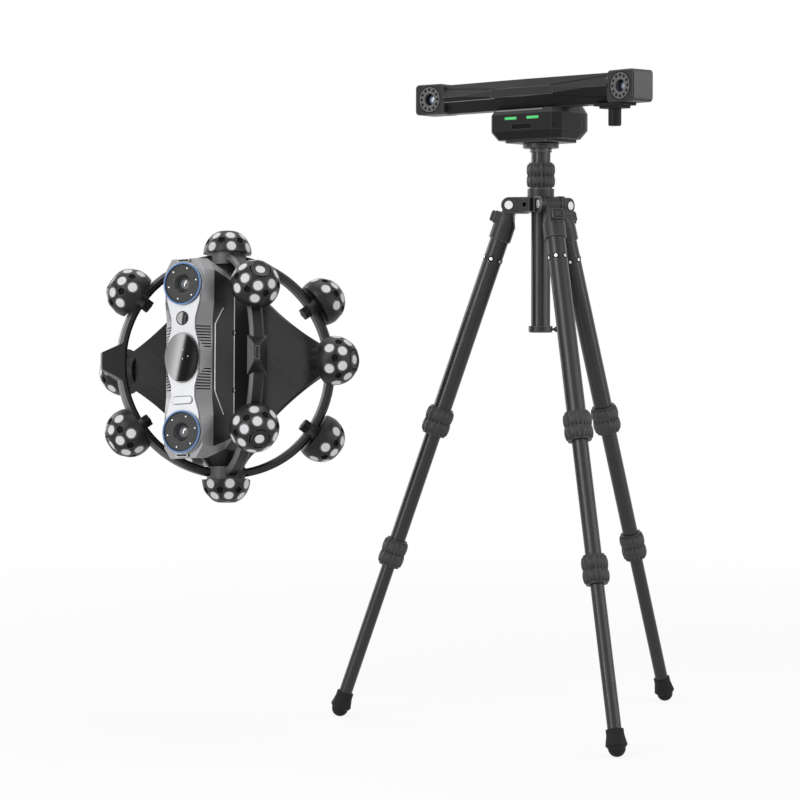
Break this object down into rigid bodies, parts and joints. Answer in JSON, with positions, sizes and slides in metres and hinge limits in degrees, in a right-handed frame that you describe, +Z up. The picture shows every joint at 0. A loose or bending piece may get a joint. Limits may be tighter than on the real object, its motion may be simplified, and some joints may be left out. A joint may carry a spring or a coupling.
{
  "type": "three-dimensional scanner",
  "caption": "Handheld 3-D scanner in a marker-ball cage, with a twin-camera optical tracker bar on a folding tripod.",
  "frame": {"origin": "middle of the set's footprint, on the floor", "axes": "+Z up, -Y towards the viewer, +X to the viewer's right"},
  "size_m": [0.718, 0.4419, 0.7739],
  "materials": {
    "anodised_tube": "dark anodised, satin",
    "lock_rubber": "ribbed",
    "foot_rubber": "moulded",
    "cast_metal": "die cast, powder coated",
    "pin_steel": "brushed",
    "tracker_metal": "anodised, satin",
    "black_plastic": "fine texture",
    "status_green": "lit",
    "ring_grey": "satin",
    "lens_glass": "coated",
    "silver_paint": "silver paint",
    "housing_grey": "metallic paint, satin",
    "housing_black": "satin",
    "ring_blue": "gloss",
    "ball_plastic": "satin",
    "button_grey": "satin"
  },
  "bodies": {
    "root": {"crown": "cast_metal", "pivot_pins": "pin_steel"},
    "leg_1": {"leg_1_casting": "cast_metal", "leg_1_upper_tube": "anodised_tube"},
    "leg_1_tab": {"leg_1_angle_tab": "cast_metal"},
    "leg_1_upper_lock": {"leg_1_upper_lock": "lock_rubber"},
    "leg_1_middle": {"leg_1_middle_tube": "anodised_tube"},
    "leg_1_lower_lock": {"leg_1_lower_lock": "lock_rubber"},
    "leg_1_lower": {"leg_1_lower_tube": "anodised_tube", "leg_1_foot": "foot_rubber"},
    "leg_2": {"leg_2_casting": "cast_metal", "leg_2_upper_tube": "anodised_tube"},
    "leg_2_tab": {"leg_2_angle_tab": "cast_metal"},
    "leg_2_upper_lock": {"leg_2_upper_lock": "lock_rubber"},
    "leg_2_middle": {"leg_2_middle_tube": "anodised_tube"},
    "leg_2_lower_lock": {"leg_2_lower_lock": "lock_rubber"},
    "leg_2_lower": {"leg_2_lower_tube": "anodised_tube", "leg_2_foot": "foot_rubber"},
    "leg_3": {"leg_3_casting": "cast_metal", "leg_3_upper_tube": "anodised_tube"},
    "leg_3_tab": {"leg_3_angle_tab": "cast_metal"},
    "leg_3_upper_lock": {"leg_3_upper_lock": "lock_rubber"},
    "leg_3_middle": {"leg_3_middle_tube": "anodised_tube"},
    "leg_3_lower_lock": {"leg_3_lower_lock": "lock_rubber"},
    "leg_3_lower": {"leg_3_lower_tube": "anodised_tube", "leg_3_foot": "foot_rubber"},
    "column": {"column_tube": "anodised_tube", "column_end_cap": "cast_metal", "column_top_plate": "cast_metal"},
    "column_lock": {"column_lock": "lock_rubber"},
    "tracker": {"tracker_bottom_plate": "tracker_metal", "tracker_base_front": "tracker_metal", "tracker_base_rear": "tracker_metal", "tracker_status_lights": "status_green", "tracker_port_panel": "black_plastic", "tracker_bar_front": "tracker_metal", "tracker_bar_rear": "tracker_metal", "tracker_left_camera": "tracker_metal", "tracker_right_camera": "tracker_metal", "tracker_lens_rings": "ring_grey", "tracker_lenses": "lens_glass", "tracker_clamp": "black_plastic"},
    "tracker_power_button": {"tracker_power_button": "black_plastic"},
    "scanner": {"scanner_front_plate": "silver_paint", "scanner_housing_front": "housing_grey", "scanner_housing_rear": "housing_black", "scanner_camera_rings": "ring_blue", "scanner_cameras": "black_plastic", "scanner_camera_lenses": "lens_glass", "scanner_window": "lens_glass", "scanner_aiming_lens": "lens_glass", "scanner_status_pill": "silver_paint", "scanner_cage_frame": "housing_black", "scanner_marker_balls": "ball_plastic", "scanner_thumb_knobs": "black_plastic", "scanner_side_wings": "housing_black", "scanner_pole_saddles": "housing_black", "scanner_grip": "black_plastic"},
    "scan_button": {"scanner_scan_button": "button_grey"},
    "mode_button": {"scanner_mode_button": "black_plastic"}
  },
  "joints": [
    {"name": "leg_1_fold", "type": "hinge", "parent": "root", "child": "leg_1", "pos_m": [0.14321, 0.03554, 0.62327], "axis": [-0.2233, -0.9748, 0], "range_deg": [0, 19]},
    {"name": "leg_1_angle_tab_pull", "type": "slide", "parent": "leg_1", "child": "leg_1_tab", "axis": [-0.9211, 0.211, 0.3272], "range_m": [0, 0.004], "stiffness_N_per_m": 400, "springref_m": -0.002},
    {"name": "leg_1_upper_lock_turn", "type": "hinge", "parent": "leg_1", "child": "leg_1_upper_lock", "pos_m": [0.0555, 0.05563, 0.36341], "axis": [0.319, -0.0731, 0.9449], "range_deg": [0, 90]},
    {"name": "leg_1_middle_slide", "type": "slide", "parent": "leg_1", "child": "leg_1_middle", "axis": [0.319, -0.0731, 0.9449], "range_m": [0, 0.125]},
    {"name": "leg_1_lower_lock_turn", "type": "hinge", "parent": "leg_1_middle", "child": "leg_1_lower_lock", "pos_m": [0.00127, 0.06804, 0.20277], "axis": [0.319, -0.0731, 0.9449], "range_deg": [0, 90]},
    {"name": "leg_1_lower_slide", "type": "slide", "parent": "leg_1_middle", "child": "leg_1_lower", "axis": [0.319, -0.0731, 0.9449], "range_m": [0, 0.155]},
    {"name": "leg_2_fold", "type": "hinge", "parent": "root", "child": "leg_2", "pos_m": [0.18888, -0.00691, 0.62327], "axis": [0.9558, 0.294, 0], "range_deg": [0, 19]},
    {"name": "leg_2_angle_tab_pull", "type": "slide", "parent": "leg_2", "child": "leg_2_tab", "axis": [0.2779, -0.9032, 0.3272], "range_m": [0, 0.004], "stiffness_N_per_m": 400, "springref_m": -0.002},
    {"name": "leg_2_upper_lock_turn", "type": "hinge", "parent": "leg_2", "child": "leg_2_upper_lock", "pos_m": [0.21535, -0.09292, 0.36341], "axis": [-0.0962, 0.3128, 0.9449], "range_deg": [0, 90]},
    {"name": "leg_2_middle_slide", "type": "slide", "parent": "leg_2", "child": "leg_2_middle", "axis": [-0.0962, 0.3128, 0.9449], "range_m": [0, 0.125]},
    {"name": "leg_2_lower_lock_turn", "type": "hinge", "parent": "leg_2_middle", "child": "leg_2_lower_lock", "pos_m": [0.2317, -0.14608, 0.20277], "axis": [-0.0962, 0.3128, 0.9449], "range_deg": [0, 90]},
    {"name": "leg_2_lower_slide", "type": "slide", "parent": "leg_2_middle", "child": "leg_2_lower", "axis": [-0.0962, 0.3128, 0.9449], "range_m": [0, 0.155]},
    {"name": "leg_3_fold", "type": "hinge", "parent": "root", "child": "leg_3", "pos_m": [0.20281, 0.05387, 0.62327], "axis": [-0.7325, 0.6807, 0], "range_deg": [0, 19]},
    {"name": "leg_3_angle_tab_pull", "type": "slide", "parent": "leg_3", "child": "leg_3_tab", "axis": [0.6432, 0.6922, 0.3272], "range_m": [0, 0.004], "stiffness_N_per_m": 400, "springref_m": -0.002},
    {"name": "leg_3_upper_lock_turn", "type": "hinge", "parent": "leg_3", "child": "leg_3_upper_lock", "pos_m": [0.26406, 0.11979, 0.36341], "axis": [-0.2227, -0.2397, 0.9449], "range_deg": [0, 90]},
    {"name": "leg_3_middle_slide", "type": "slide", "parent": "leg_3", "child": "leg_3_middle", "axis": [-0.2227, -0.2397, 0.9449], "range_m": [0, 0.125]},
    {"name": "leg_3_lower_lock_turn", "type": "hinge", "parent": "leg_3_middle", "child": "leg_3_lower_lock", "pos_m": [0.30193, 0.16054, 0.20277], "axis": [-0.2227, -0.2397, 0.9449], "range_deg": [0, 90]},
    {"name": "leg_3_lower_slide", "type": "slide", "parent": "leg_3_middle", "child": "leg_3_lower", "axis": [-0.2227, -0.2397, 0.9449], "range_m": [0, 0.155]},
    {"name": "column_rise", "type": "slide", "parent": "root", "child": "column", "axis": [0, 0, 1], "range_m": [-0.012, 0.115]},
    {"name": "column_lock_turn", "type": "hinge", "parent": "root", "child": "column_lock", "pos_m": [0.1783, 0.0275, 0.64307], "axis": [0, 0, 1], "range_deg": [0, 90]},
    {"name": "tracker_pan", "type": "hinge", "parent": "column", "child": "tracker", "pos_m": [0.1783, 0.0275, 0.69707], "axis": [0, 0, 1], "range_deg": [-170, 170]},
    {"name": "tracker_power_press", "type": "slide", "parent": "tracker", "child": "tracker_power_button", "axis": [-0.682, -0.7314, 0], "range_m": [0, 0.0008], "stiffness_N_per_m": 1500, "springref_m": -0.0005},
    {"name": "scanner_lift", "type": "slide", "parent": "root", "child": "scanner", "axis": [0, 0, 1], "range_m": [0, 0.1]},
    {"name": "scan_press", "type": "slide", "parent": "scanner", "child": "scan_button", "axis": [0.4305, 0.8949, -0.1178], "range_m": [0, 0.0015], "stiffness_N_per_m": 1200, "springref_m": -0.0005},
    {"name": "mode_press", "type": "slide", "parent": "scanner", "child": "mode_button", "axis": [-0.4305, -0.8949, 0.1178], "range_m": [0, 0.001], "stiffness_N_per_m": 1200, "springref_m": -0.0005}
  ]
}
